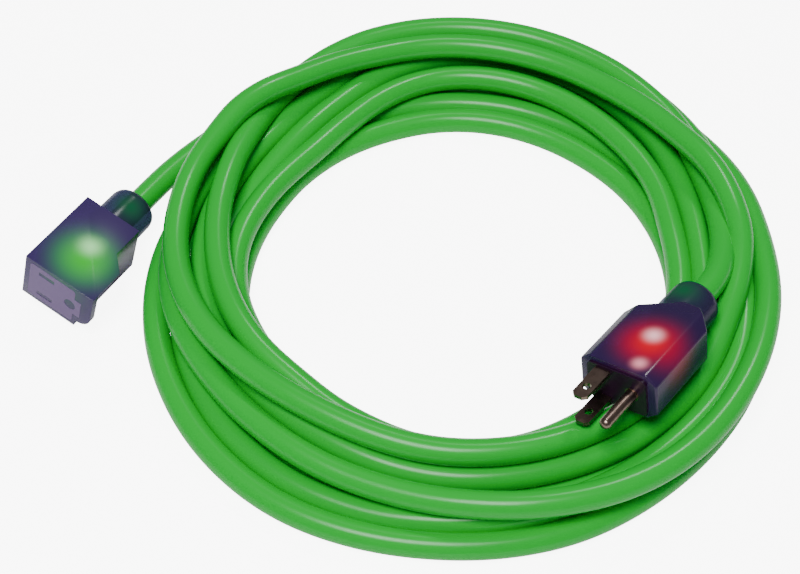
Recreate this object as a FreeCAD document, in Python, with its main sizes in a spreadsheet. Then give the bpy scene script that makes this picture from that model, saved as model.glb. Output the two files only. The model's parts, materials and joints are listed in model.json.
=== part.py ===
import FreeCAD, Part
import math
import os
import re

import Sketcher

# Three-wire extension cord, loosely coiled, with a lighted plug and a lighted connector.
# Millimetres, +Z up. The origin is on the floor under the middle of the whole object's box.
# Each end is modelled in its own frame: x forward out of its front face, y across, z up
# through its thickness, origin at the middle of the front face. placed() puts it in the row's.

DIMENSIONS = [
    # the cord
    ("cord_diameter", 10.5),
    ("coil_centre_x", 25.0),
    ("coil_centre_y", -9.7),
    ("coil_height", 21.0),
    ("coil_edge_round", 7.0),
    # both ends
    ("relief_radius", 10.3),
    ("relief_tip_radius", 7.6),
    ("relief_neck_radius", 9.2),
    ("relief_round", 4.0),
    ("conductor_ring", 2.35),
    ("conductor_straight", 2.4),
    ("conductor_bare", 1.2),
    ("copper_radius", 1.03),
    ("insulation_radius", 1.8),
    ("crimp_radius", 2.2),
    ("crimp_length", 5.0),
    ("crimp_stop", 0.5),
    ("contact_spread", 6.35),
    ("line_row_y", -5.55),
    ("ground_row_y", 6.35),
    ("lamp_radius", 2.5),
    ("lamp_length", 4.5),
    ("lamp_level", 6.3),
    ("lead_radius", 0.35),
    ("resistor_radius", 1.1),
    ("resistor_length", 5.0),
    # the plug
    ("plug_x", 79.6),
    ("plug_y", -78.5),
    ("plug_z", 36.6),
    ("plug_heading", 232.0),
    ("plug_nose_up", 6.0),
    ("plug_roll", 13.7),
    ("plug_width", 32.5),
    ("plug_thickness", 21.0),
    ("plug_straight", 36.0),
    ("plug_shoulder", 7.0),
    ("plug_shoulder_inset", 7.0),
    ("plug_left_straight", 30.0),
    ("plug_left_shoulder", 13.0),
    ("plug_left_inset", 18.4),
    ("plug_side_chamfer", 4.5),
    ("plug_top_chamfer", 3.5),
    ("plug_relief_shown", 14.0),
    ("plug_relief_buried", 10.0),
    ("plug_jacket_buried", 13.0),
    ("plug_cord_y", 0.0),
    ("plug_lamp_x", -19.0),
    ("plug_lamp_y", 2.2),
    ("bridge_proud", 1.2),
    ("bridge_depth", 10.0),
    ("bridge_width", 25.0),
    ("bridge_height", 16.5),
    ("bridge_corner", 2.0),
    ("blade_width", 6.35),
    ("blade_thickness", 1.52),
    ("blade_reach", 17.8),
    ("blade_tip_bevel", 1.6),
    ("blade_hole_radius", 1.6),
    ("blade_hole_back", 6.1),
    ("contact_tail", 12.0),
    ("pin_radius", 2.38),
    ("pin_reach", 20.6),
    ("pin_root_radius", 2.9),
    # the connector
    ("connector_x", -135.9),
    ("connector_y", -22.3),
    ("connector_z", 17.35),
    ("connector_heading", 239.6),
    ("connector_nose_up", 5.0),
    ("connector_roll", -13.5),
    ("connector_left", 16.2),
    ("connector_right", 9.6),
    ("connector_half_height", 12.0),
    ("connector_length", 40.0),
    ("connector_edge", 1.2),
    ("keel_right", 16.4),
    ("keel_lobe", 4.0),
    ("keel_length", 25.0),
    ("keel_slope", 7.0),
    ("keel_top_inset", 0.3),
    ("keel_bottom", 8.5),
    ("keel_bottom_round", 6.5),
    ("connector_relief_shown", 17.5),
    ("connector_relief_buried", 3.0),
    ("connector_jacket_buried", 0.5),
    ("connector_cord_y", -3.3),
    ("connector_lamp_x", -30.0),
    ("connector_lamp_y", 0.6),
    ("housing_left", 13.6),
    ("housing_right", 8.2),
    ("housing_half_height", 10.0),
    ("housing_lobe_right", 11.4),
    ("housing_lobe_half_height", 4.8),
    ("housing_corner", 1.5),
    ("housing_depth", 22.5),
    ("housing_recess", 0.8),
    ("slot_length", 7.4),
    ("slot_height", 2.0),
    ("face_wall", 3.0),
    ("cell_length", 9.0),
    ("cell_height", 5.2),
    ("leaf_thickness", 0.8),
    ("leaf_gap", 1.3),
    ("leaf_width", 6.4),
    ("leaf_flare", 0.75),
    ("leaf_flare_length", 2.5),
    ("leaf_setback", 0.6),
    ("ground_bore_radius", 2.6),
    ("ground_cell_radius", 3.5),
    ("sleeve_radius", 3.1),
    ("sleeve_bore_radius", 2.3),
    ("sleeve_slit", 0.8),
]

# Coil outline at the eight compass points, anticlockwise from east: how far the outermost
# and the innermost turns reach from the coil's middle, half a cord included.
COMPASS = ["east", "north_east", "north", "north_west", "west", "south_west", "south", "south_east"]
COIL_OUTER = [123.5, 136.0, 141.0, 129.5, 128.0, 127.5, 121.5, 121.5]
COIL_INNER = [83.0, 85.0, 88.0, 84.0, 86.0, 83.5, 83.5, 82.0]

# Hand-laid routes of the two stretches that leave the coil, from each strain relief inwards.
PLUG_TAIL = [
    (114.5, -33.8, 30.6),
    (118.5, -28.6, 29.9),
    (122.7, -21.9, 29.2),
    (126.1, -14.6, 28.6),
    (128.5, -7.0, 28.0),
    (130.1, 1.9, 27.2),
    (130.5, 13.9, 26.0),
    (129.0, 28.8, 23.5),
    (124.7, 45.3, 19.0),
    (118.5, 60.3, 13.7),
]
CONNECTOR_TAIL = [
    (-109.1, 29.6, 12.8),
    (-102.9, 40.3, 11.7),
    (-92.1, 52.3, 10.5),
    (-79.5, 62.2, 9.5),
    (-66.2, 71.1, 9.0),
]

doc = FreeCAD.newDocument("ExtensionCord")
sheet = doc.addObject("Spreadsheet::Sheet", "Dims")


def fill_sheet():
    """Write every driving dimension as a plain number with a word for its alias."""
    rows = list(DIMENSIONS)
    rows += [("coil_outer_" + point, reach) for point, reach in zip(COMPASS, COIL_OUTER)]
    rows += [("coil_inner_" + point, reach) for point, reach in zip(COMPASS, COIL_INNER)]
    for row, (alias, value) in enumerate(rows, start=1):
        sheet.set("A%d" % row, alias)
        sheet.set("B%d" % row, str(value))
        sheet.setAlias("B%d" % row, alias)
    doc.recompute()


def size(alias):
    """A driving dimension's value, in millimetres or degrees."""
    return float(sheet.get(alias))


def formula(words):
    """Give every alias in a formula its sheet name, so that an expression can read it."""
    return re.sub(r"[a-z]+(_[a-z]+)+", r"Dims.\g<0>", words)


def bind(thing, **formulas):
    """Bind properties to the sheet; at_x, at_y and at_z are the placement's base."""
    for name, words in formulas.items():
        path = "Placement.Base." + name[3:] if name.startswith("at_") else name
        thing.setExpression(path, formula(words))


# ---------------------------------------------------------------- small building blocks


def block(name, low, extent):
    """A box with its low corner and its extents given as formulas."""
    box = doc.addObject("Part::Box", name)
    bind(box, at_x=low[0], at_y=low[1], at_z=low[2])
    bind(box, Length=extent[0], Width=extent[1], Height=extent[2])
    return box


def rod(name, start, radius, length):
    """A cylinder that runs forward along x from its start point."""
    cylinder = doc.addObject("Part::Cylinder", name)
    turn = FreeCAD.Rotation(FreeCAD.Vector(0, 1, 0), 90)
    cylinder.Placement = FreeCAD.Placement(FreeCAD.Vector(), turn)
    bind(cylinder, at_x=start[0], at_y=start[1], at_z=start[2])
    bind(cylinder, Radius=radius, Height=length)
    return cylinder


def ball(name, centre, radius):
    sphere = doc.addObject("Part::Sphere", name)
    bind(sphere, at_x=centre[0], at_y=centre[1], at_z=centre[2])
    bind(sphere, Radius=radius)
    return sphere


def fused(name, pieces):
    union = doc.addObject("Part::MultiFuse", name)
    union.Shapes = pieces
    return union


def cut(name, base, tool):
    difference = doc.addObject("Part::Cut", name)
    difference.Base = base
    difference.Tool = tool
    return difference


def plane_of(body, role):
    """One of a body's own origin planes."""
    return next(p for p in body.Origin.OriginFeatures if p.Role == role)


def sketch_on(body, name, role, offset="0"):
    """An empty sketch on an origin plane, pushed along the plane's normal."""
    sketch = body.newObject("Sketcher::SketchObject", name)
    sketch.AttachmentSupport = [(plane_of(body, role), "")]
    sketch.MapMode = "FlatFace"
    sketch.setExpression("AttachmentOffset.Base.z", formula(offset))
    return sketch


def polygon(sketch, corners):
    """A closed outline whose corners are bound to the sheet, across then up."""
    first = sketch.GeometryCount
    count = len(corners)
    for index in range(count):
        angle = 2 * math.pi * index / count
        following = 2 * math.pi * (index + 1) / count
        start = FreeCAD.Vector(10 * math.cos(angle), 10 * math.sin(angle), 0)
        end = FreeCAD.Vector(10 * math.cos(following), 10 * math.sin(following), 0)
        sketch.addGeometry(Part.LineSegment(start, end))
    for index in range(count):
        following = (index + 1) % count
        sketch.addConstraint(Sketcher.Constraint("Coincident", first + index, 2, first + following, 1))
    for index, (across, up) in enumerate(corners):
        for kind, words in (("DistanceX", across), ("DistanceY", up)):
            constraint = Sketcher.Constraint(kind, -1, 1, first + index, 1, 1.0)
            number = sketch.addConstraint(constraint)
            sketch.setExpression("Constraints[%d]" % number, formula(words))


def circle(sketch, across, up, radius):
    """A circle whose centre and radius are bound to the sheet."""
    ring = sketch.addGeometry(Part.Circle(FreeCAD.Vector(1, 1, 0), FreeCAD.Vector(0, 0, 1), 1))
    for kind, words in (("DistanceX", across), ("DistanceY", up)):
        number = sketch.addConstraint(Sketcher.Constraint(kind, -1, 1, ring, 3, 1.0))
        sketch.setExpression("Constraints[%d]" % number, formula(words))
    number = sketch.addConstraint(Sketcher.Constraint("Radius", ring, 1.0))
    sketch.setExpression("Constraints[%d]" % number, formula(radius))


def pad(body, sketch, length, middle=False, backwards=False):
    feature = body.newObject("PartDesign::Pad", sketch.Name + "_pad")
    feature.Profile = sketch
    feature.setExpression("Length", formula(length))
    feature.Midplane = middle
    feature.Reversed = backwards
    body.Tip = feature
    return feature


def pocket_through(body, sketch):
    """A pocket through everything on both sides of its sketch."""
    feature = body.newObject("PartDesign::Pocket", sketch.Name + "_pocket")
    feature.Profile = sketch
    feature.Type = "ThroughAll"
    feature.Midplane = True
    body.Tip = feature
    return feature


def straight_edges(shape, direction, places, reach=0.05):
    """Names of the edges along a direction whose middles pass a test on their middle point."""
    names = []
    for index, edge in enumerate(shape.Edges, start=1):
        if not isinstance(edge.Curve, Part.Line):
            continue
        along = edge.tangentAt(edge.FirstParameter)
        middle = edge.CenterOfMass
        if abs(abs(along.dot(direction)) - 1) < reach and places(middle):
            names.append("Edge%d" % index)
    return names


def round_edges(body, names, radius):
    before = body.Tip
    feature = body.newObject("PartDesign::Fillet", body.Name + "_round_%d" % len(body.Group))
    feature.Base = (before, names)
    feature.setExpression("Radius", formula(radius))
    body.Tip = feature
    doc.recompute()
    return feature


# ---------------------------------------------------------------- cord and wire routes


def route_wire(points):
    """Straight runs joined by tangent arcs, each as large as its two runs allow."""
    corners = [FreeCAD.Vector(*point) for point in points]
    edges = []
    radii = []
    start = corners[0]
    for before, corner, after in zip(corners, corners[1:], corners[2:]):
        inward = (corner - before).normalize()
        outward = (after - corner).normalize()
        turn = inward.getAngle(outward)
        reach = 0.45 * min((corner - before).Length, (after - corner).Length)
        radii.append(reach / math.tan(turn / 2))
        arc_start = corner - inward * reach
        arc_end = corner + outward * reach
        bisector = (outward - inward).normalize()
        centre = corner + bisector * (radii[-1] / math.cos(turn / 2))
        arc_middle = centre - bisector * radii[-1]
        edges.append(Part.LineSegment(start, arc_start).toShape())
        edges.append(Part.Arc(arc_start, arc_middle, arc_end).toShape())
        start = arc_end
    edges.append(Part.LineSegment(start, corners[-1]).toShape())
    return Part.Wire(edges), radii


def tube(points, radius):
    """A round bar along a route, with its wire and its arc radii."""
    wire, radii = route_wire(points)
    first = FreeCAD.Vector(*points[0])
    heading = (FreeCAD.Vector(*points[1]) - first).normalize()
    section = Part.Wire([Part.Circle(first, heading, radius).toShape()])
    return wire.makePipeShell([section], True, False), wire, radii


def shaped(name, shape):
    """A sub-part whose shape is worked out by a function."""
    feature = doc.addObject("Part::Feature", name)
    feature.Shape = shape
    return feature


def cord_tail(label, points):
    """A stretch of cord outside the coil; prints how its route and volume come out."""
    radius = size("cord_diameter") / 2
    solid, wire, radii = tube(points, radius)
    wanted = math.pi * radius ** 2 * wire.Length
    print(label, "arc radii", [round(value, 1) for value in radii], "length", round(wire.Length, 1))
    print(label, "volume over section times length", round(solid.Volume / wanted, 4))
    tail = shaped(label, solid)
    tail.Label = label
    return tail


def coil():
    """The coil as one closed solid: a flat ring with the outline that its turns make."""
    middle = FreeCAD.Vector(size("coil_centre_x"), size("coil_centre_y"), 0)
    wires = []
    for side in ("coil_outer_", "coil_inner_"):
        points = []
        for index, compass in enumerate(COMPASS):
            angle = 2 * math.pi * index / len(COMPASS)
            reach = size(side + compass)
            points.append(middle + FreeCAD.Vector(reach * math.cos(angle), reach * math.sin(angle), 0))
        outline = Part.BSplineCurve()
        outline.interpolate(Points=points, PeriodicFlag=True)
        wires.append(Part.Wire([outline.toShape()]))
    height = size("coil_height")
    ring = Part.Face(wires, "Part::FaceMakerBullseye").extrude(FreeCAD.Vector(0, 0, height))
    rim = [edge for edge in ring.Edges if edge.BoundBox.ZMin > height - 0.01]
    feature = shaped("cord_coil", ring.makeFillet(size("coil_edge_round"), rim))
    feature.Label = "cord_coil"
    return feature


# ---------------------------------------------------------------- pieces that both ends have


class End:
    """One end of the cord: where it lies, and how its pieces are named and placed."""

    def __init__(self, name, body_length):
        self.name = name
        self.body_length = body_length
        heading, nose_up, roll = (size(name + "_" + word) for word in ("heading", "nose_up", "roll"))
        base = FreeCAD.Vector(size(name + "_x"), size(name + "_y"), size(name + "_z"))
        self.placement = FreeCAD.Placement(base, FreeCAD.Rotation(heading, -nose_up, roll))

    def own(self, words):
        """Name for a piece while it is still in this end's own frame."""
        return self.name + "_own_" + words

    def placed(self, label, piece):
        """Put a piece, modelled in this end's frame, where the end lies."""
        holder = doc.addObject("Part::Compound", self.name + "_" + label)
        holder.Links = [piece]
        holder.Placement = self.placement
        holder.Label = self.name + "_" + label
        return holder


CONTACTS = {
    # row across, side up or down, and the conductor's place round the middle of the jacket
    "line": ("line_row_y", 1, 140),
    "neutral": ("line_row_y", -1, 220),
    "ground": ("ground_row_y", 0, 0),
}


def contact_level(kind):
    """Formula for how far above the middle a contact lies."""
    return "%d * contact_spread" % CONTACTS[kind][1]


def contact_centre(kind):
    """Where a contact's axis crosses the end's frame: across and up."""
    row, side, _ = CONTACTS[kind]
    return size(row), side * size("contact_spread")


def strain_relief(end):
    """Tapered barrel: a neck moulded into the body, then the part that shows, bored for the cord."""
    body = doc.addObject("PartDesign::Body", end.own("relief"))
    middle = "%s_cord_y" % end.name
    sketch = sketch_on(body, end.own("relief_section"), "XZ_Plane", "-" + middle)
    back = "-" + end.body_length
    neck = "%s + %s_relief_buried" % (back, end.name)
    tip = "%s - %s_relief_shown" % (back, end.name)
    bore = "cord_diameter / 2"
    polygon(sketch, [
        (neck, bore),
        (neck, "relief_neck_radius"),
        (back, "relief_neck_radius"),
        (back, "relief_radius"),
        (tip + " + relief_round", "relief_radius - 0.5"),
        (tip + " + relief_round / 3", "relief_radius - 1.3"),
        (tip, "relief_tip_radius"),
        (tip, bore),
    ])
    turned = body.newObject("PartDesign::Revolution", end.own("relief_turned"))
    turned.Profile = sketch
    turned.ReferenceAxis = (sketch, ["H_Axis"])
    turned.Angle = 360
    body.Tip = turned
    return body


def jacket_end(end):
    """The stub of cord inside the strain relief, up to where its jacket is stripped."""
    start = "-%s - %s_relief_shown" % (end.body_length, end.name)
    length = "%s_relief_shown + %s_jacket_buried" % (end.name, end.name)
    cord_y = "%s_cord_y" % end.name
    return rod(end.own("jacket"), (start, cord_y, "0"), "cord_diameter / 2", length)


def conductor(end, kind, body_length, crimp_back):
    """One wire from the stripped jacket to its crimp, as copper and as insulation."""
    back = size(end.name + "_jacket_buried") - body_length
    across, up = contact_centre(kind)
    angle = math.radians(CONTACTS[kind][2])
    start_y = size(end.name + "_cord_y") + size("conductor_ring") * math.cos(angle)
    start_z = size("conductor_ring") * math.sin(angle)
    stripped = crimp_back - size("conductor_bare")
    straight = size("conductor_straight")
    route = [
        (back, start_y, start_z),
        (back + straight, start_y, start_z),
        (stripped - straight, across, up),
        (stripped, across, up),
    ]
    sleeve = tube(route, size("insulation_radius"))[0]
    core = tube(route, size("copper_radius"))[0]
    seat = crimp_back + size("crimp_length") - size("crimp_stop")
    start = FreeCAD.Vector(stripped, across, up)
    forward = FreeCAD.Vector(1, 0, 0)
    stub = Part.makeCylinder(size("copper_radius"), seat - stripped, start, forward)
    copper = shaped(end.own(kind + "_copper"), core.fuse(stub).removeSplitter())
    insulation = shaped(end.own(kind + "_insulation"), sleeve.cut(core))
    return copper, insulation


def crimped(end, kind, contact, tail):
    """A contact with a rolled barrel, bored for the copper, behind its tail."""
    start = ("-%s - crimp_length" % tail, CONTACTS[kind][0], contact_level(kind))
    outside = rod(end.own(kind + "_crimp"), start, "crimp_radius", "crimp_length")
    depth = "crimp_length - crimp_stop"
    bore = rod(end.own(kind + "_crimp_bore"), start, "copper_radius", depth)
    joined = fused(end.own(kind + "_joined"), [contact, outside])
    return cut(end.own(kind + "_contact"), joined, bore)


def lamp(end, facing):
    """Indicator lamp: a round-nosed capsule along the end, nose forward (1) or back (-1)."""
    across = "%s_lamp_y" % end.name
    base = "%s_lamp_x" % end.name
    low = base if facing > 0 else base + " - lamp_length"
    glass = rod(end.own("lamp_tube"), (low, across, "lamp_level"), "lamp_radius", "lamp_length")
    nose = "%s + %d * lamp_length" % (base, facing)
    dome = ball(end.own("lamp_dome"), (nose, across, "lamp_level"), "lamp_radius")
    return fused(end.own("lamp"), [glass, dome])


def lamp_wiring(end, facing, crimp_back):
    """The lamp's lead to the line crimp, and the resistor with its leads to the neutral one."""
    lead = size("lead_radius")
    base_x = size(end.name + "_lamp_x")
    lamp_y = size(end.name + "_lamp_y")
    level = size("lamp_level")
    line_y, line_z = contact_centre("line")
    beside_crimp = line_y + size("crimp_radius") + lead + 0.05
    meet_x = crimp_back + size("crimp_length") / 2
    live_route = [
        (base_x, lamp_y - 1.2, level),
        (base_x - 1.4 * facing, lamp_y - 1.2, level),
        (base_x - 1.4 * facing, beside_crimp + 0.2, level),
        (meet_x, beside_crimp, line_z),
    ]
    body_x = base_x - 2.4 * facing
    body_y = 0.3
    return_route = [
        (base_x, lamp_y + 1.0, level),
        (base_x - 1.3 * facing, lamp_y + 1.0, level),
        (body_x, body_y, 3.8),
        (body_x, body_y, -4.6),
        (meet_x, beside_crimp, -line_z),
    ]
    barrel_start = FreeCAD.Vector(body_x, body_y, -size("resistor_length") / 2)
    upward = FreeCAD.Vector(0, 0, 1)
    length = size("resistor_length")
    barrel = Part.makeCylinder(size("resistor_radius"), length, barrel_start, upward)
    live = shaped(end.own("lamp_lead"), tube(live_route, lead)[0])
    leads = tube(return_route, lead)[0]
    return live, shaped(end.own("resistor"), leads.fuse(barrel).removeSplitter())


def cord_side_pieces(end, body_length, crimp_back, lamp_facing):
    """The pieces that both ends share, from the strain relief to the crimps."""
    pieces = {
        "strain_relief": strain_relief(end),
        "cord_end": jacket_end(end),
        "lamp": lamp(end, lamp_facing),
    }
    for kind in CONTACTS:
        wire = conductor(end, kind, body_length, crimp_back)
        pieces[kind + "_copper"], pieces[kind + "_insulation"] = wire
    pieces["lamp_lead"], pieces["resistor"] = lamp_wiring(end, lamp_facing, crimp_back)
    return pieces


# ---------------------------------------------------------------- the plug


def plug_body_outline(end):
    """Eight-sided bar cut back to shoulders behind."""
    body = doc.addObject("PartDesign::Body", end.own("outline"))
    side = "plug_width / 2"
    half = "plug_thickness / 2"
    in_side = side + " - plug_side_chamfer"
    in_top = half + " - plug_top_chamfer"
    section = sketch_on(body, end.own("section"), "YZ_Plane")
    polygon(section, [
        (in_side, half), (side, in_top),
        (side, "-(%s)" % in_top), (in_side, "-(%s)" % half),
        ("-(%s)" % in_side, "-(%s)" % half), ("-(%s)" % side, "-(%s)" % in_top),
        ("-(%s)" % side, in_top), ("-(%s)" % in_side, half),
    ])
    pad(body, section, "plug_straight + plug_shoulder", backwards=True)
    beyond = "-(plug_straight + plug_shoulder + 2)"
    for mark, sign, straight, shoulder, inset in (
        ("right", "", "plug_straight", "plug_shoulder", "plug_shoulder_inset"),
        ("left", "-", "plug_left_straight", "plug_left_shoulder", "plug_left_inset"),
    ):
        corner = sketch_on(body, end.own("shoulder_" + mark), "XY_Plane")
        inner = "%s(%s - %s)" % (sign, side, inset)
        outer = "%s(%s + 2)" % (sign, side)
        polygon(corner, [
            ("-" + straight, "%s(%s)" % (sign, side)),
            ("-" + straight, outer),
            (beyond, outer),
            (beyond, inner),
            ("-(%s + %s)" % (straight, shoulder), inner),
        ])
        pocket_through(body, corner)
    return body


def blade(end, kind):
    """Flat brass blade with a bevelled tip, a hole near it and a crimp tail."""
    row = CONTACTS[kind][0]
    body = doc.addObject("PartDesign::Body", end.own(kind + "_strip"))
    outline = sketch_on(body, end.own(kind + "_outline"), "XY_Plane", contact_level(kind))
    low = row + " - blade_width / 2"
    high = row + " + blade_width / 2"
    polygon(outline, [
        ("-contact_tail", low),
        ("blade_reach - blade_tip_bevel", low),
        ("blade_reach", low + " + blade_tip_bevel"),
        ("blade_reach", high + " - blade_tip_bevel"),
        ("blade_reach - blade_tip_bevel", high),
        ("-contact_tail", high),
    ])
    pad(body, outline, "blade_thickness", middle=True)
    hole = sketch_on(body, end.own(kind + "_hole"), "XY_Plane", contact_level(kind))
    circle(hole, "blade_reach - blade_hole_back", row, "blade_hole_radius")
    pocket_through(body, hole)
    return crimped(end, kind, body, "contact_tail")


def ground_pin(end):
    """Round ground pin with a domed tip, a thicker root held by the bridge and a crimp tail."""
    row = "ground_row_y"
    root_length = "contact_tail + bridge_proud"
    root = rod(end.own("pin_root"), ("-contact_tail", row, "0"), "pin_root_radius", root_length)
    length = "pin_reach - pin_radius - bridge_proud"
    shank = rod(end.own("pin_shank"), ("bridge_proud", row, "0"), "pin_radius", length)
    dome = ball(end.own("pin_dome"), ("pin_reach - pin_radius", row, "0"), "pin_radius")
    return crimped(end, "ground", fused(end.own("pin"), [root, shank, dome]), "contact_tail")


def plug_bridge(end, contacts):
    """Inner insulating block that holds the blades and the pin at their spacing."""
    body = doc.addObject("PartDesign::Body", end.own("bridge_block"))
    section = sketch_on(body, end.own("bridge_section"), "YZ_Plane", "-bridge_depth")
    side = "bridge_width / 2"
    half = "bridge_height / 2"
    low_side, low_half = "-" + side, "-" + half
    polygon(section, [(low_side, low_half), (side, low_half), (side, half), (low_side, half)])
    pad(body, section, "bridge_depth + bridge_proud")
    doc.recompute()
    long_edges = straight_edges(body.Shape, FreeCAD.Vector(1, 0, 0), lambda point: True)
    round_edges(body, long_edges, "bridge_corner")
    return cut(end.own("bridge"), body, fused(end.own("bridge_contacts"), contacts))


def build_plug():
    end = End("plug", "(plug_straight + plug_shoulder)")
    body_length = size("plug_straight") + size("plug_shoulder")
    crimp_back = -(size("contact_tail") + size("crimp_length"))
    pieces = {
        "line_blade": blade(end, "line"),
        "neutral_blade": blade(end, "neutral"),
        "ground_pin": ground_pin(end),
    }
    pieces["bridge"] = plug_bridge(end, list(pieces.values()))
    pieces.update(cord_side_pieces(end, body_length, crimp_back, -1))
    filling = fused(end.own("filling"), list(pieces.values()))
    pieces["overmold"] = cut(end.own("overmold"), plug_body_outline(end), filling)
    return [end.placed(label, piece) for label, piece in pieces.items()]


# ---------------------------------------------------------------- the connector


def connector_body_outline(end):
    """Square-cornered body with a round-bottomed lobe in front on its ground side, undercut behind."""
    body = doc.addObject("PartDesign::Body", end.own("outline"))
    half = "connector_half_height"
    low_half, left = "-" + half, "-connector_left"
    main = sketch_on(body, end.own("section"), "YZ_Plane")
    right = "connector_right"
    polygon(main, [(left, low_half), (right, low_half), (right, half), (left, half)])
    pad(body, main, "connector_length", backwards=True)
    keel = sketch_on(body, end.own("keel_section"), "YZ_Plane")
    top = half + " - keel_top_inset"
    low = "-keel_bottom"
    polygon(keel, [("0", low), (right, low), ("keel_right", top), ("0", top)])
    pad(body, keel, "keel_length", backwards=True)
    lobe = sketch_on(body, end.own("lobe_section"), "YZ_Plane")
    polygon(lobe, [("0", low), ("keel_right", low), ("keel_right", top), ("0", top)])
    pad(body, lobe, "keel_lobe", backwards=True)
    doc.recompute()
    forward = FreeCAD.Vector(1, 0, 0)
    keel_face = size("keel_right") - 0.1
    rounds = (
        ("keel_bottom_round", lambda point: point.y > keel_face and point.z < 0),
        ("connector_edge", lambda point: point.y < -size("connector_left") + 0.1),
    )
    for radius, place in rounds:
        round_edges(body, straight_edges(body.Shape, forward, place), radius)
    corner = sketch_on(body, end.own("keel_corner"), "XY_Plane")
    polygon(corner, [
        ("-(keel_length - keel_slope)", "keel_right + 0.5"),
        ("-(keel_length + 1)", "keel_right + 0.5"),
        ("-(keel_length + 1)", "connector_right + 0.01"),
        ("-keel_length", "connector_right + 0.01"),
    ])
    pocket_through(body, corner)
    return body


def housing_outline(end, name, front):
    """The contact carrier's outline, with a lobe for the ground contact, up to a front plane."""
    body = doc.addObject("PartDesign::Body", end.own(name))
    section = sketch_on(body, end.own(name + "_section"), "YZ_Plane", "-housing_depth")
    left, right, lobe = "-housing_left", "housing_right", "housing_lobe_right"
    high, lobe_high = "housing_half_height", "housing_lobe_half_height"
    low, lobe_low = "-" + high, "-" + lobe_high
    polygon(section, [
        (left, low), (right, low), (right, lobe_low), (lobe, lobe_low),
        (lobe, lobe_high), (right, lobe_high), (right, high), (left, high),
    ])
    pad(body, section, "housing_depth + (%s)" % front)
    doc.recompute()
    forward = FreeCAD.Vector(1, 0, 0)
    outer = straight_edges(body.Shape, forward, lambda point: abs(point.z) > size("housing_half_height") - 0.1)
    round_edges(body, outer, "housing_corner")
    return body


def contact_cell(end, kind):
    """The slot that a blade enters, and the wider cell behind it that the contact stands in."""
    row = CONTACTS[kind][0]
    level = contact_level(kind)
    slot = block(
        end.own(kind + "_slot"),
        ("-(housing_recess + face_wall)", row + " - slot_length / 2", level + " - slot_height / 2"),
        ("face_wall + housing_recess + 1", "slot_length", "slot_height"),
    )
    cell = block(
        end.own(kind + "_cell"),
        ("-(housing_depth + 1)", row + " - cell_length / 2", level + " - cell_height / 2"),
        ("housing_depth + 1 - housing_recess - face_wall", "cell_length", "cell_height"),
    )
    return [slot, cell]


def ground_cell(end):
    """The round hole that a ground pin enters, and the bore behind it for the sleeve contact."""
    row = "ground_row_y"
    wall_back = "-(housing_recess + face_wall)"
    hole_length = "face_wall + housing_recess + 1"
    cell_length = "housing_depth + 1 - housing_recess - face_wall"
    hole = rod(end.own("ground_hole"), (wall_back, row, "0"), "ground_bore_radius", hole_length)
    cell_start = ("-(housing_depth + 1)", row, "0")
    cell = rod(end.own("ground_cell"), cell_start, "ground_cell_radius", cell_length)
    return [hole, cell]


def contact_housing(end):
    """Contact carrier with its slots and cells; its face shows in the front of the connector."""
    hollows = contact_cell(end, "line") + contact_cell(end, "neutral") + ground_cell(end)
    solid = housing_outline(end, "housing_block", "-housing_recess")
    return cut(end.own("housing"), solid, fused(end.own("hollows"), hollows))


def leaf_contact(end, kind):
    """Folded-brass contact with two leaves that grip a blade, and a crimp tail."""
    row = CONTACTS[kind][0]
    level = contact_level(kind)
    body = doc.addObject("PartDesign::Body", end.own(kind + "_fold"))
    section = sketch_on(body, end.own(kind + "_fold_section"), "XZ_Plane", "-(%s)" % row)
    front = "-(housing_recess + face_wall + leaf_setback)"
    bend = front + " - leaf_flare_length"
    rear = "-housing_depth"
    inner_rear = rear + " + leaf_thickness"
    inside = "leaf_gap / 2"
    outside = "leaf_gap / 2 + leaf_thickness"
    polygon(section, [
        (rear, "%s - (%s)" % (level, outside)),
        (bend, "%s - (%s)" % (level, outside)),
        (front, "%s - (%s) - leaf_flare" % (level, outside)),
        (front, "%s - (%s) - leaf_flare" % (level, inside)),
        (bend, "%s - (%s)" % (level, inside)),
        (inner_rear, "%s - (%s)" % (level, inside)),
        (inner_rear, "%s + %s" % (level, inside)),
        (bend, "%s + %s" % (level, inside)),
        (front, "%s + %s + leaf_flare" % (level, inside)),
        (front, "%s + %s + leaf_flare" % (level, outside)),
        (bend, "%s + %s" % (level, outside)),
        (rear, "%s + %s" % (level, outside)),
    ])
    pad(body, section, "leaf_width", middle=True)
    return crimped(end, kind, body, "housing_depth")


def sleeve_contact(end):
    """Slit round sleeve that grips a ground pin, closed behind by its crimp tail."""
    row = "ground_row_y"
    length = "housing_depth - housing_recess - face_wall - leaf_setback"
    start = ("-housing_depth", row, "0")
    outside = rod(end.own("sleeve_outside"), start, "sleeve_radius", length)
    inner_start = ("-housing_depth + leaf_thickness", row, "0")
    inside = rod(end.own("sleeve_inside"), inner_start, "sleeve_bore_radius", "housing_depth")
    slit = block(
        end.own("sleeve_slit"),
        ("-housing_depth + 3", row + " - sleeve_slit / 2", "0"),
        ("housing_depth", "sleeve_slit", "sleeve_radius + 1"),
    )
    sleeve = cut(end.own("sleeve"), outside, fused(end.own("sleeve_tools"), [inside, slit]))
    return crimped(end, "ground", sleeve, "housing_depth")


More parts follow.
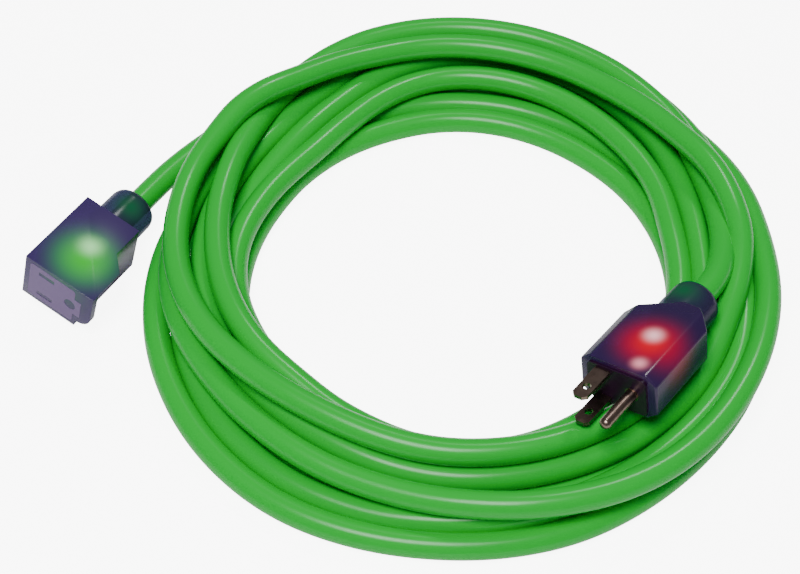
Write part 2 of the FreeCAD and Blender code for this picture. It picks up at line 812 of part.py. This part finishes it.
def build_connector():
    end = End("connector", "connector_length")
    crimp_back = -(size("housing_depth") + size("crimp_length"))
    pieces = {
        "line_contact": leaf_contact(end, "line"),
        "neutral_contact": leaf_contact(end, "neutral"),
        "ground_contact": sleeve_contact(end),
    }
    pieces.update(cord_side_pieces(end, size("connector_length"), crimp_back, 1))
    # the moulding stops at the carrier's outline, so that the cells inside it stay open
    opening = housing_outline(end, "housing_opening", "1")
    filling = fused(end.own("filling"), list(pieces.values()) + [opening])
    pieces["overmold"] = cut(end.own("overmold"), connector_body_outline(end), filling)
    pieces["housing"] = contact_housing(end)
    return [end.placed(label, piece) for label, piece in pieces.items()]


# ---------------------------------------------------------------- checks and files


def stop_on_broken(things):
    """Stop before anything is written if an object or its shape is not sound."""
    for thing in things:
        if "Invalid" in thing.State or "Error" in thing.State:
            raise RuntimeError("%s did not compute: %s" % (thing.Name, thing.State))
        shape = getattr(thing, "Shape", None)
        if shape is not None and (shape.isNull() or not shape.isValid()):
            raise RuntimeError("%s has no sound shape" % thing.Name)


def write_nodes(nodes):
    os.makedirs("parts", exist_ok=True)
    for node in nodes:
        node.Shape.exportStep("parts/" + node.Label + ".step")
        box = node.Shape.BoundBox
        solids = len(node.Shape.Solids)
        print("%-30s solids %d volume %.1f" % (node.Label, solids, node.Shape.Volume))
        lows = [round(value, 1) for value in (box.XMin, box.YMin, box.ZMin)]
        highs = [round(value, 1) for value in (box.XMax, box.YMax, box.ZMax)]
        print("    from", lows, "to", highs)


fill_sheet()
nodes = [coil(), cord_tail("cord_plug_tail", PLUG_TAIL), cord_tail("cord_connector_tail", CONNECTOR_TAIL)]
nodes += build_plug()
nodes += build_connector()
doc.recompute()
stop_on_broken([thing for thing in doc.Objects if hasattr(thing, "Shape")])
write_nodes(nodes)
everything = Part.makeCompound([node.Shape for node in nodes]).BoundBox
print("whole box", everything)
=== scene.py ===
import math

import bmesh
import bpy
import numpy as np
from mathutils import Matrix, Vector
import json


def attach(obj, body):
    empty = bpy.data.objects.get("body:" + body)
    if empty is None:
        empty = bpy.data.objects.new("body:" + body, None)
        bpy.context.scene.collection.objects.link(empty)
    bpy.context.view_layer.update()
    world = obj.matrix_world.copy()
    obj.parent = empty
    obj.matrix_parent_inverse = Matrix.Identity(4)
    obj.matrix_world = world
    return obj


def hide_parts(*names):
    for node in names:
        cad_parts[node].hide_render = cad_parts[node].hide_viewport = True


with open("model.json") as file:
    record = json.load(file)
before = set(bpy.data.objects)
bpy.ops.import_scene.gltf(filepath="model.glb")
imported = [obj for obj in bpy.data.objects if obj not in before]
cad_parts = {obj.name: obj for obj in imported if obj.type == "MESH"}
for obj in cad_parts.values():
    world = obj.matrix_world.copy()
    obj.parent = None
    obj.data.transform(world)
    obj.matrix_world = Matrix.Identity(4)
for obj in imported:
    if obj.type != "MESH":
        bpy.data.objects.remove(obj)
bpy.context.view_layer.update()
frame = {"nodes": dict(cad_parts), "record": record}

# ---------------------------------------------------------------- the cord: sizes and route, in millimetres

CORD = 10.5
COIL_CENTRE = np.array([25.0, -9.7])
STEP = 5.0
CONTACT = CORD + 0.1

# Each turn at the compass points in the order the cord passes them: W NW N NE E SE S SW.
# The first turn comes from the connector, the last one goes to the plug. TURN_RADII is how far
# the turn's middle lies from the coil's middle, TURN_LAYERS how high it is laid, TURN_HEIGHTS
# the height its radius is meant for, TURN_HOLD how firmly it keeps to its radius.
TURN_RADII = [
    [146, 119, 124, 124, 120, 116, 106, 103],
    [116, 116, 122, 118, 113, 113, 116, 122],
    [122.5, 114, 112, 110, 105, 101, 98, 96],
    [99, 103, 127, 114, 90, 88, 88.7, 89],
    [114, 124, 128, 124, 109, 97, 94.6, 96],
    [104, 113, 126, 121, 112, 104, 106, 112],
    [114, 104, 95, 94, 98, 97, 95, 94],
    [89, 91, 98, 91, 88, 86, 81, 84],
    [91, 91.5, 111, 100, 86, 85, 87, 86],
    [96.5, 116, 134, 122, 103],
]
TURN_LAYERS = [
    [1, 3, 3, 3, 4, 5, 6, 6],
    [4, 4, 2, 2, 2, 3, 2, 2],
    [2, 3, 3, 2, 2, 1, 1, 1],
    [1, 2, 5, 5, 5, 6, 7.5, 8.5],
    [7, 7, 7, 5, 6, 4, 4, 4],
    [4, 5, 6.5, 6.5, 3, 3, 3, 3],
    [1, 1, 0, 0, 0, 0, 0, 0],
    [1, 1, 2, 2, 2, 2, 2, 2],
    [3, 4, 5, 5, 4, 3, 4, 5],
    [8, 8, 8, 8, 9],
]
TURN_HEIGHTS = [
    [16, 16, 10, 10, 16, 16, 16, 16],
    [16, 12, 10, 10, 10, 6, 6, 6],
    [6, 6, 6, 6, 6, 6, 6, 6],
    [6, 16, 16, 16, 16, 16, 22, 22],
    [22, 22, 22, 16, 16, 16, 16, 16],
    [10, 10, 22, 22, 10, 6, 6, 6],
    [6, 6, 6, 6, 6, 6, 6, 6],
    [6, 10, 10, 10, 10, 10, 6, 6],
    [16, 16, 16, 16, 16, 16, 16, 22],
    [22, 22, 22, 22, 22],
]
TURN_HOLD = [
    [1, 0.3, 0.1, 0.1, 1, 1, 1, 1],
    [1, 0.2, 0.1, 0.1, 0.1, 0.7, 1, 1],
    [1, 0.3, 0.1, 0.1, 0.1, 0.1, 0.1, 0.1],
    [1, 1, 1, 1, 1, 0.4, 1, 1],
    [1, 1, 0.5, 1, 1, 1, 1, 0.3],
    [1, 0.2, 1, 1, 0.1, 0.1, 0.5, 1],
    [0.5, 0.1, 0.6, 0.6, 0.3, 0.4, 0.4, 0.4],
    [0.1, 0.6, 1, 1, 0.5, 0.4, 0.4, 0.4],
    [1, 1, 1, 1, 1, 0.1, 0.1, 0.4],
    [1, 1, 1, 1, 0.2],
]
INNER_WALL = [91.5, 91, 95.5, 91.8, 88, 84, 79, 84]
OUTER_WALL = [123.5, 128.5, 135.5, 132.0, 120.3, 118.5, 116.0, 122.5]
# Where the coil starts and stops, in degrees clockwise, counted on from turn to turn.
COIL_FROM, COIL_TO = 212.0, 3604.0
LAYER_LIFT = 9.0
TOP_LAYER = 90.0

# How the turns settle, round by round, in millimetres or as shares of a distance.
ROUNDS, QUICK_ROUNDS = 700, 150
DROP, LATE_DROP, MOST_DROP = 0.6, 0.21, 2
HIGH_TURN, HIGH_TURN_DROP = 24, 0.05
TOP_SIGHT_HEIGHT = 30
HOLD_SHARE = 0.12
SMOOTHING = ((1, 0.06), (3, 0.06), (6, 0.05))
PUSHES, PUSH_SHARE, MOST_PUSH = 5, 0.55, 1.5
SEARCH_EVERY, SEARCH_REACH = 8, CORD * 1.9
LEAVING_POINTS, LEAVING_ROOM = 20, 40
PLUG_SIDE, PLUG_UNDERSIDE = 16.25 + CORD / 2, 10.5 + CORD / 2
PLUG_BACK, PLUG_FRONT = -60, 6

PLUG_TAIL = [(114.5, -33.8, 30.6), (118.5, -28.6, 29.9), (122.7, -21.9, 29.2)]
CONNECTOR_TAIL = [(-109.1, 29.6, 12.8), (-102.9, 40.3, 11.7), (-92.1, 52.3, 10.5)]

# ---------------------------------------------------------------- the two ends' own frames

PLUG_AT, PLUG_TURN = (79.6, -78.5, 36.6), (232.0, 6.0, 13.7)
CONNECTOR_AT, CONNECTOR_TURN = (-135.9, -22.3, 17.35), (239.6, 5.0, -13.5)

# ---------------------------------------------------------------- where the light and the camera stand

ELEVATION = math.radians(52)
DISTANCE = 0.667
AIM = Vector((0, -0.0132, 0.012))
EYE = AIM + DISTANCE * Vector((0, -math.cos(ELEVATION), math.sin(ELEVATION)))


def axes(turn):
    """Forward, across and up of an end, from its heading, nose-up and roll angles."""
    heading, nose, roll = (math.radians(angle) for angle in turn)
    forward = Vector((
        math.cos(heading) * math.cos(nose), math.sin(heading) * math.cos(nose), math.sin(nose),
    ))
    level = Vector((-math.sin(heading), math.cos(heading), 0))
    upright = forward.cross(level)
    across = level * math.cos(roll) + upright * math.sin(roll)
    up = upright * math.cos(roll) - level * math.sin(roll)
    return forward, across, up


def end_matrix(at, turn):
    """An end's frame in metres, for a mesh made in millimetres of its own."""
    forward, across, up = axes(turn)
    matrix = Matrix((forward, across, up)).transposed().to_4x4()
    matrix.translation = Vector(at) / 1000
    return matrix


def curve_through(knots, values, at):
    """Smooth values at any angles from values at the compass points."""
    knots, values = np.asarray(knots, float), np.asarray(values, float)
    slope = np.gradient(values, knots)
    i = np.clip(np.searchsorted(knots, at) - 1, 0, len(knots) - 2)
    span = knots[i + 1] - knots[i]
    t = (at - knots[i]) / span
    low = (2 * t ** 3 - 3 * t ** 2 + 1) * values[i] + (t ** 3 - 2 * t ** 2 + t) * span * slope[i]
    return low + (3 * t ** 2 - 2 * t ** 3) * values[i + 1] + (t ** 3 - t ** 2) * span * slope[i + 1]


def evenly(points, step):
    """The same route with its points evenly spaced."""
    points = np.asarray(points, float)
    for _ in range(3):
        gaps = np.linalg.norm(np.diff(points[:, :3], axis=0), axis=1)
        along = np.concatenate([[0], np.cumsum(gaps)])
        wanted = np.linspace(0, along[-1], max(2, int(round(along[-1] / step)) + 1))
        points = np.stack([np.interp(wanted, along, column) for column in points.T], 1)
    return points


def laid_turns():
    """Every turn as it is laid: plan point, meant height, hold and lifted height in a row."""
    angles = [180 + 45 * place for place in range(sum(len(row) for row in TURN_RADII))]
    at = np.arange(COIL_FROM, COIL_TO, 2.0)
    radius, layer, meant, hold = (
        curve_through(angles, [value for row in table for value in row], at)
        for table in (TURN_RADII, TURN_LAYERS, TURN_HEIGHTS, TURN_HOLD)
    )
    turn = np.radians(-at)
    flat = np.zeros_like(at)
    rows = np.stack([
        COIL_CENTRE[0] + radius * np.cos(turn), COIL_CENTRE[1] + radius * np.sin(turn), flat,
        meant, np.clip(hold, 0.1, 1), CORD / 2 + LAYER_LIFT * layer,
    ], 1)
    return evenly(rows, STEP)


def tail_rows(points):
    """A tail's points in the same columns as the turns."""
    points = evenly(points, STEP)
    height = points[:, 2:3]
    return np.hstack([points[:, :2], 0 * height, height, np.ones_like(height), height])


def bent(pos, span):
    """How sharply the bend changes at each point, over a span of points."""
    bend = np.zeros_like(pos)
    bend[span:-span] = pos[2 * span:] - 2 * pos[span:-span] + pos[:-2 * span]
    change = np.zeros_like(pos)
    change[span:-span] = bend[2 * span:] - 2 * bend[span:-span] + bend[:-2 * span]
    change[:2 * span] = 0
    change[-2 * span:] = 0
    return change


def wall(row, angle):
    """A wall's distance from the coil's middle at any angle, clockwise from the west."""
    place = (angle - 180) % 360 / 45
    before = np.floor(place).astype(int) % 8
    share = place - np.floor(place)
    share = share * share * (3 - 2 * share)
    row = np.asarray(row, float)
    return row[before] * (1 - share) + row[(before + 1) % 8] * share


def seen_from_eye(plan, meant, height):
    """Where a plan point meant for one height lies on the same sight line at another height."""
    eye = np.array(EYE) * 1000
    share = (eye[2] - np.minimum(height, TOP_SIGHT_HEIGHT)) / (eye[2] - meant)
    return eye[:2] + (plan - eye[:2]) * share[:, None]


def push_apart(pos, free, first, second):
    """Move every pair of points that touch away from each other."""
    gap = pos[first] - pos[second]
    long = np.linalg.norm(gap, axis=1)
    hit = long < CONTACT
    if not hit.any():
        return
    i, j, gap, long = first[hit], second[hit], gap[hit], np.maximum(long[hit], 1e-6)
    share_i, share_j = free[i].astype(float), free[j].astype(float)
    both = np.maximum(share_i + share_j, 1e-9)
    push = gap * ((CONTACT - long) / long)[:, None]
    moved, touched = np.zeros_like(pos), np.zeros(len(pos))
    np.add.at(moved, i, push * (share_i / both)[:, None])
    np.add.at(moved, j, -push * (share_j / both)[:, None])
    np.add.at(touched, i, 1)
    np.add.at(touched, j, 1)
    moved /= np.maximum(touched * PUSH_SHARE, 1)[:, None]
    size = np.linalg.norm(moved, axis=1)
    pos += moved * np.minimum(1, MOST_PUSH / np.maximum(size, 1e-9))[:, None]


def keep_under_plug(pos, free):
    """Press the turns that lie under the plug's body down, and those beside it aside."""
    forward, across, up = (np.array(axis) for axis in axes(PLUG_TURN))
    rel = pos - np.array(PLUG_AT)
    ahead, aside, above = rel @ forward, rel @ across, rel @ up
    side_gap, deep = PLUG_SIDE - np.abs(aside), above + PLUG_UNDERSIDE
    inside = free & (ahead > PLUG_BACK) & (ahead < PLUG_FRONT) & (side_gap > 0) & (deep > 0)
    down = inside & (deep <= side_gap * 1.5 + 3)
    out = inside & ~down
    pos[down] -= np.minimum(deep[down], 1.0)[:, None] * up
    pos[out] += (np.minimum(side_gap[out], 1.0) * np.sign(aside[out]))[:, None] * across


def settle(rows, held, lifted, rounds):
    """Let the turns drop onto the floor and each other, each near its own sight line."""
    plan, meant, hold = rows[:, :2], rows[:, 3], rows[:, 4]
    pos = np.hstack([plan, rows[:, 5:6]])
    true = pos.copy()
    free = ~held
    near = int(math.ceil(1.6 * CORD / STEP)) + 1
    not_tail = np.arange(len(pos)) < len(pos) - lifted.sum() - 1
    leaving = np.where(np.arange(len(pos)) < LEAVING_POINTS, LEAVING_ROOM, 0)
    for step in range(rounds):
        late = step / rounds
        pos[held] = true[held]
        pos[lifted, 2] += (TOP_LAYER - true[lifted, 2]) * max(0, 1 - 2 * late)
        drop = DROP if late < 0.8 else LATE_DROP
        drop = drop + HIGH_TURN_DROP * np.maximum(0, pos[:, 2] - HIGH_TURN) * (late > 0.4)
        pos[free, 2] -= np.minimum(drop, MOST_DROP)[free]
        target = seen_from_eye(plan, meant, pos[:, 2])
        pos[free, :2] += ((HOLD_SHARE * hold)[:, None] * (target - pos[:, :2]))[free]
        for span, share in SMOOTHING:
            pos[free, :2] -= share * bent(pos[:, :2] - target, span)[free]
            pos[free, 2] -= share * bent(pos[:, 2:], span)[free, 0]
        if step % SEARCH_EVERY == 0:
            apart = ((pos[:, None, :] - pos[None, :, :]) ** 2).sum(2)
            first, second = np.nonzero(np.triu(apart < SEARCH_REACH ** 2, near))
        for _ in range(PUSHES):
            push_apart(pos, free, first, second)
            if late > 0.4:
                keep_under_plug(pos, free & not_tail)
            pos[free, 2] = np.maximum(pos[free, 2], CORD / 2)
        rel = pos[:, :2] - COIL_CENTRE
        reach = np.linalg.norm(rel, axis=1)
        angle = np.degrees(-np.arctan2(rel[:, 1], rel[:, 0]))
        wanted = np.clip(reach, wall(INNER_WALL, angle), wall(OUTER_WALL, angle) + leaving)
        walled = COIL_CENTRE + rel * ((reach + wanted) / 2 / reach)[:, None]
        pos[free, :2] = walled[free]
    return pos


def ease(route, low, high):
    """Redraw the points between two others as one curve that keeps the direction at both.

    It does not look for other turns, and beside the plug it leaves two of them in each other.
    """
    start, end = route[low], route[high]
    reach = np.linalg.norm(end - start)
    leaving = (start - route[low - 1]) / np.linalg.norm(start - route[low - 1]) * reach
    arriving = (route[high + 1] - end) / np.linalg.norm(route[high + 1] - end) * reach
    t = np.linspace(0, 1, high - low + 1)[1:-1, None]
    route[low + 1:high] = (
        (2 * t ** 3 - 3 * t ** 2 + 1) * start + (t ** 3 - 2 * t ** 2 + t) * leaving
        + (3 * t ** 2 - 2 * t ** 3) * end + (t ** 3 - t ** 2) * arriving
    )


def cord_route():
    """Every control point of the cord, from the connector to the plug."""
    lead_in, turns, lead_out = tail_rows(CONNECTOR_TAIL), laid_turns(), tail_rows(PLUG_TAIL[::-1])
    rows = np.vstack([lead_in, turns[1:-1], lead_out])
    held = np.zeros(len(rows), bool)
    held[:len(lead_in)] = True
    lifted = np.zeros(len(rows), bool)
    lifted[len(rows) - len(lead_out):] = True
    pos = settle(rows, held | lifted, lifted, ROUNDS)
    turns = pos[len(lead_in):len(pos) - len(lead_out)]
    for _ in range(2):
        turns[1:-1] = (turns[:-2] + 2 * turns[1:-1] + turns[2:]) / 4
    route = np.vstack([CONNECTOR_TAIL, turns, PLUG_TAIL[::-1]])
    first, last = len(CONNECTOR_TAIL), len(route) - len(PLUG_TAIL)
    ease(route, first - 2, first + 8)
    ease(route, last - 12, last + 1)
    return route


def make_cord(points):
    """The cord as one open spline, through control points in millimetres."""
    curve = bpy.data.curves.new("cord", "CURVE")
    curve.dimensions = "3D"
    curve.bevel_depth = CORD / 2000
    curve.bevel_resolution = 8
    curve.use_fill_caps = True
    spline = curve.splines.new("NURBS")
    spline.points.add(len(points) - 1)
    for point, place in zip(spline.points, points):
        point.co = (place[0] / 1000, place[1] / 1000, place[2] / 1000, 1.0)
    spline.order_u = 3
    spline.use_endpoint_u = True
    spline.resolution_u = 2
    thing = bpy.data.objects.new("cord", curve)
    bpy.context.scene.collection.objects.link(thing)
    return thing


# ---------------------------------------------------------------- materials


def material(name, colour, rough=0.4, **inputs):
    """A material with its colour, its roughness and any other socket set."""
    made = bpy.data.materials.new(name)
    made.use_nodes = True
    shader = made.node_tree.nodes["Principled BSDF"]
    shader.inputs["Base Color"].default_value = (*colour, 1.0)
    shader.inputs["Roughness"].default_value = rough
    for key, value in inputs.items():
        shader.inputs[key.replace("_", " ")].default_value = value
    return made


def node(tree, kind, **settings):
    """A new shader node with its settings."""
    made = tree.nodes.new(kind)
    for key, value in settings.items():
        setattr(made, key, value)
    return made


def speckle(made, scale, low, high):
    """Vary a material's roughness a little with fine noise."""
    tree = made.node_tree
    place = node(tree, "ShaderNodeTexCoord")
    noise = node(tree, "ShaderNodeTexNoise")
    noise.inputs["Scale"].default_value = scale
    spread = node(tree, "ShaderNodeMapRange")
    spread.inputs["To Min"].default_value = low
    spread.inputs["To Max"].default_value = high
    tree.links.new(place.outputs["Object"], noise.inputs["Vector"])
    tree.links.new(noise.outputs["Fac"], spread.inputs["Value"])
    tree.links.new(spread.outputs["Result"], tree.nodes["Principled BSDF"].inputs["Roughness"])


def nearness(tree, place, point, reach):
    """One at a point of the object's own frame, falling smoothly to zero at its reach."""
    gap = node(tree, "ShaderNodeVectorMath", operation="DISTANCE")
    gap.inputs[1].default_value = [value / 1000 for value in point]
    fall = node(tree, "ShaderNodeMapRange", interpolation_type="SMOOTHSTEP")
    fall.inputs["From Min"].default_value = 0.0
    fall.inputs["From Max"].default_value = reach / 1000
    fall.inputs["To Min"].default_value = 1.0
    fall.inputs["To Max"].default_value = 0.0
    tree.links.new(place, gap.inputs[0])
    soft = node(tree, "ShaderNodeMath", operation="POWER")
    soft.inputs[1].default_value = 2.2
    tree.links.new(gap.outputs["Value"], fall.inputs["Value"])
    tree.links.new(fall.outputs["Result"], soft.inputs[0])
    return soft.outputs["Value"]


def moulding(name, colour, tint, solid, painted_glows=()):
    """Translucent moulding: part see-through, part glossy colour, with painted glow: emission patches on
    its surface that stand in for the light of the lamp inside it.
    """
    made = material(name, colour, 0.24)
    tree = made.node_tree
    shader, output = tree.nodes["Principled BSDF"], tree.nodes["Material Output"]
    through = node(tree, "ShaderNodeBsdfTransparent")
    through.inputs["Color"].default_value = (*tint, 1.0)
    mixed = node(tree, "ShaderNodeMixShader")
    mixed.inputs["Fac"].default_value = solid
    tree.links.new(through.outputs["BSDF"], mixed.inputs[1])
    tree.links.new(shader.outputs["BSDF"], mixed.inputs[2])
    result = mixed.outputs["Shader"]
    place = node(tree, "ShaderNodeTexCoord").outputs["Object"]
    # Each painted glow is an emission patch that is brightest at its point and fades to nothing at its
    # reach. It is painted light, not light cast by the lamp parts.
    for point, reach, lit, strength in painted_glows:
        light = node(tree, "ShaderNodeEmission")
        light.inputs["Color"].default_value = (*lit, 1.0)
        light.inputs["Strength"].default_value = strength
        over = node(tree, "ShaderNodeMixShader")
        tree.links.new(nearness(tree, place, point, reach), over.inputs["Fac"])
        tree.links.new(result, over.inputs[1])
        tree.links.new(light.outputs["Emission"], over.inputs[2])
        result = over.outputs["Shader"]
    tree.links.new(result, output.inputs["Surface"])
    return made


green = material("green_jacket", (0.0, 0.42, 0.03), 0.3, Specular_IOR_Level=0.25)
speckle(green, 60.0, 0.2, 0.3)
# Painted glow: a faint green emission patch on the relief where the green cord shows through it. The green
# is the cord's own colour, but its glow is painted light.
relief_violet_painted_glow = moulding("relief_violet_painted_glow", (0.035, 0.025, 0.09), (0.1, 0.12, 0.18), 0.55, (
    ((-49.0, -1.5, 9.0), 14.0, (0.012, 0.12, 0.05), 1.0),
))
# Painted glow: a red emission patch on the plug's top where the red lamp inside shines through, a
# white-pink painted hot spot over the lamp, and a painted highlight near the front of the top.
plug_violet_painted_glow = moulding("plug_violet_painted_glow", (0.028, 0.012, 0.07), (0.07, 0.05, 0.12), 0.75, (
    ((-16.5, 4.0, 8.5), 23.0, (1.0, 0.0, 0.02), 0.9),
    ((-20.5, 2.8, 10.5), 8.0, (1.0, 0.5, 0.55), 1.5),
    ((-4.9, 6.4, 10.5), 6.5, (1.0, 0.35, 0.42), 1.2),
))
# Painted glow: a green emission patch where the green lamp inside shines through the connector, with a
# paler painted hot spot over the lamp.
connector_violet_painted_glow = moulding("connector_violet_painted_glow", (0.045, 0.025, 0.12), (0.08, 0.06, 0.14), 0.78, (
    ((-15.0, 1.8, 9.0), 25.0, (0.0, 1.0, 0.005), 0.7),
    ((-20.9, -0.1, 12.0), 10.0, (0.4, 1.0, 0.4), 1.3),
))
plum = material("plum_insert", (0.014, 0.002, 0.016), 0.3)
rose = material("rose_insert", (0.12, 0.065, 0.2), 0.4)
bronze = material("bronze_contact", (0.24, 0.17, 0.14), 0.28, Metallic=1.0)
speckle(bronze, 300.0, 0.2, 0.4)
copper = material("copper_wire", (0.8, 0.35, 0.2), 0.3, Metallic=1.0)
black = material("black_insulation", (0.015, 0.015, 0.015), 0.4)
white = material("white_insulation", (0.75, 0.75, 0.72), 0.4)
green_wire = material("green_insulation", (0.01, 0.25, 0.03), 0.4)
red_lamp = material(
    "red_lamp", (0.8, 0.02, 0.03), 0.3, Emission_Color=(1, 0.05, 0.05, 1), Emission_Strength=4.0,
)
green_lamp = material(
    "green_lamp", (0.02, 0.8, 0.05), 0.3, Emission_Color=(0.1, 1, 0.1, 1), Emission_Strength=4.0,
)
resistor = material("resistor_body", (0.45, 0.3, 0.15), 0.5)
floor_paint = material("floor_paint", (0.95, 0.95, 0.95), 0.8, Emission_Color=(1, 1, 1, 1))
# The floor shows brighter to the camera than it lights the object, so its shadows are faint.
floor_tree = floor_paint.node_tree
ray = node(floor_tree, "ShaderNodeLightPath").outputs["Is Camera Ray"]
glare = node(floor_tree, "ShaderNodeMapRange")
glare.inputs["To Min"].default_value = 0.2
glare.inputs["To Max"].default_value = 7.5
floor_shader = floor_tree.nodes["Principled BSDF"]
floor_tree.links.new(ray, glare.inputs["Value"])
floor_tree.links.new(glare.outputs["Result"], floor_shader.inputs["Emission Strength"])

SLOT_LOOK = {
    "cord_jacket": green, "violet_moulding": relief_violet_painted_glow, "clear_insert": plum,
    "rose_insert": rose, "brass_contact": bronze, "copper_wire": copper,
    "black_insulation": black, "white_insulation": white, "green_insulation": green_wire,
    "red_lamp": red_lamp, "green_lamp": green_lamp, "resistor_body": resistor,
}
for row in frame["record"]["subparts"]:
    part = frame["nodes"][row["node"]]
    part.data.materials.clear()
    part.data.materials.append(SLOT_LOOK[row["material_slot"]])

# ---------------------------------------------------------------- the mouldings of both ends


def finish_mesh(mesh, name, at, turn, look, edge):
    """Round a mesh's sharp edges, shade it smooth and stand it in its end's frame."""
    bmesh.ops.dissolve_limit(mesh, angle_limit=0.02, verts=mesh.verts, edges=mesh.edges)
    bmesh.ops.recalc_face_normals(mesh, faces=mesh.faces)
    if edge:
        sharp = [line for line in mesh.edges if line.is_manifold and line.calc_face_angle(0) > 0.3]
        bmesh.ops.bevel(
            mesh, geom=sharp, offset=edge / 1000, segments=3, profile=0.5, affect="EDGES",
            clamp_overlap=True,
        )
    for face in mesh.faces:
        face.smooth = True
    data = bpy.data.meshes.new(name)
    mesh.to_mesh(data)
    mesh.free()
    data.set_sharp_from_angle(angle=math.radians(35))
    data.materials.append(look)
    thing = bpy.data.objects.new(name, data)
    thing.matrix_world = end_matrix(at, turn)
    bpy.context.scene.collection.objects.link(thing)
    return thing


def in_metres(point):
    """A point in millimetres, in metres."""
    return [value / 1000 for value in point]


def plug_moulding():
    """Eight-sided body with cut-back shoulders, the left one nearer the front."""
    half, flat = 10.5, 7.0
    corners = [(0, y, z) for y in (-11.75, 11.75) for z in (-half, half)]
    corners += [(0, y, z) for y in (-16.25, 16.25) for z in (-flat, flat)]
    for up in (-1, 1):
        corners += [(-30.0, -16.25, up * flat), (-33.2, -11.75, up * half)]
        corners += [(-43.0, 2.15, up * half)]
        corners += [(-36.0, 16.25, up * flat), (-40.5, 11.75, up * half)]
        corners += [(-43.0, 9.25, up * half)]
    mesh = bmesh.new()
    for corner in corners:
        mesh.verts.new(in_metres(corner))
    bmesh.ops.convex_hull(mesh, input=mesh.verts)
    return finish_mesh(mesh, "plug_moulding", PLUG_AT, PLUG_TURN, plug_violet_painted_glow, 0.9)


def connector_section(lobe, reach):
    """Across-and-up outline: a square body with its lobe, or the undercut keel, on the right."""
    round_off = 6.5
    outline = [(-16.2, -12.0), (9.6, -12.0), (9.6, -8.5)]
    for step in range(7):
        angle = math.radians(-90 + 15 * step)
        across = 9.9 + round_off * math.cos(angle)
        up = -2.0 + round_off * math.sin(angle)
        if not lobe:
            across = 9.6 + 6.8 * (up + 8.5) / 20.5
        outline.append((min(across, reach), up))
    return outline + [(min(16.4, reach), 12.0), (-16.2, 12.0)]


def connector_moulding():
    """Square body with a lobe at its front corner, tapering on the right towards its back."""
    mesh = bmesh.new()
    rings = []
    for x, lobe, reach in (
        (-0.9, True, 16.4), (-4.0, True, 16.4), (-4.4, False, 16.4), (-18.0, False, 16.4),
        (-25.0, False, 9.65), (-40.0, False, 9.65),
    ):
        rings.append([mesh.verts.new(in_metres((x, y, z))) for y, z in connector_section(lobe, reach)])
    for ring, after in zip(rings, rings[1:]):
        for index in range(len(ring)):
            following = (index + 1) % len(ring)
            mesh.faces.new((ring[index], ring[following], after[following], after[index]))
    mesh.faces.new(rings[0])
    mesh.faces.new(rings[-1])
    bmesh.ops.remove_doubles(mesh, verts=mesh.verts, dist=0.00002)
    return finish_mesh(mesh, "connector_moulding", CONNECTOR_AT, CONNECTOR_TURN, connector_violet_painted_glow, 0.6)


def relief(name, back, shown, middle, at, turn, look):
    """Tapered barrel turned about the cord, with a rounded lip where the cord comes out."""
    profile = [(9.5, 8.2), (9.0, 9.2), (0.0, 10.2), (3.5 - shown, 10.0)]
    for step in range(7):
        angle = math.radians(15 * step)
        profile.append((3.4 - shown - 3.4 * math.sin(angle), 7.2 + 2.7 * math.cos(angle)))
    profile += [(-shown + 0.2, 5.3)]
    mesh = bmesh.new()
    rings = []
    for x, radius in profile:
        ring = []
        for step in range(64):
            angle = 2 * math.pi * step / 64
            point = (back + x, middle + radius * math.cos(angle), radius * math.sin(angle))
            ring.append(mesh.verts.new(in_metres(point)))
        rings.append(ring)
    for ring, after in zip(rings, rings[1:]):
        for index in range(64):
            following = (index + 1) % 64
            mesh.faces.new((ring[index], ring[following], after[following], after[index]))
    mesh.faces.new(rings[0])
    mesh.faces.new(rings[-1])
    return finish_mesh(mesh, name, at, turn, look, 0)


for thing, replaced in (
    (plug_moulding(), "plug_overmold"),
    (connector_moulding(), "connector_overmold"),
    (relief("plug_relief", -43.0, 14.0, 0.0, PLUG_AT, PLUG_TURN, relief_violet_painted_glow), "plug_strain_relief"),
    (relief("connector_relief", -40.0, 17.5, -3.3, CONNECTOR_AT, CONNECTOR_TURN, relief_violet_painted_glow),
     "connector_strain_relief"),
):
    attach(thing, "root")
    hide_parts(replaced)

cord = make_cord(cord_route())
cord.data.materials.append(green)
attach(cord, "root")
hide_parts("cord_coil", "cord_plug_tail", "cord_connector_tail")

# ---------------------------------------------------------------- floor, light and camera

bpy.ops.mesh.primitive_plane_add(size=30.0, location=(0, 0, 0))
floor = bpy.context.object
floor.name = "floor"
floor.data.materials.append(floor_paint)


def area_light(name, place, aim, width, length, power):
    """A rectangular lamp that stands at one place and faces another."""
    lamp = bpy.data.lights.new(name, "AREA")
    lamp.energy = power
    lamp.shape = "RECTANGLE"
    lamp.size = width
    lamp.size_y = length
    thing = bpy.data.objects.new(name, lamp)
    thing.location = place
    thing.rotation_euler = (Vector(aim) - Vector(place)).to_track_quat("-Z", "Y").to_euler()
    bpy.context.scene.collection.objects.link(thing)


area_light("key", (-0.2, -0.5, 1.5), (0, 0, 0), 0.6, 0.6, 27)
area_light("streak", (0.35, 0.9, 1.5), (0, 0, 0), 0.3, 0.15, 8)
world = bpy.data.worlds.new("room")
world.use_nodes = True
world.node_tree.nodes["Background"].inputs["Color"].default_value = (1, 1, 1, 1)
world.node_tree.nodes["Background"].inputs["Strength"].default_value = 0.16
bpy.context.scene.world = world

camera_data = bpy.data.cameras.new("camera")
camera_data.lens = 75
camera_data.sensor_width = 36
camera = bpy.data.objects.new("camera", camera_data)
camera.location = EYE
camera.rotation_euler = (math.pi / 2 - ELEVATION, 0, 0)
bpy.context.scene.collection.objects.link(camera)
bpy.context.scene.camera = camera
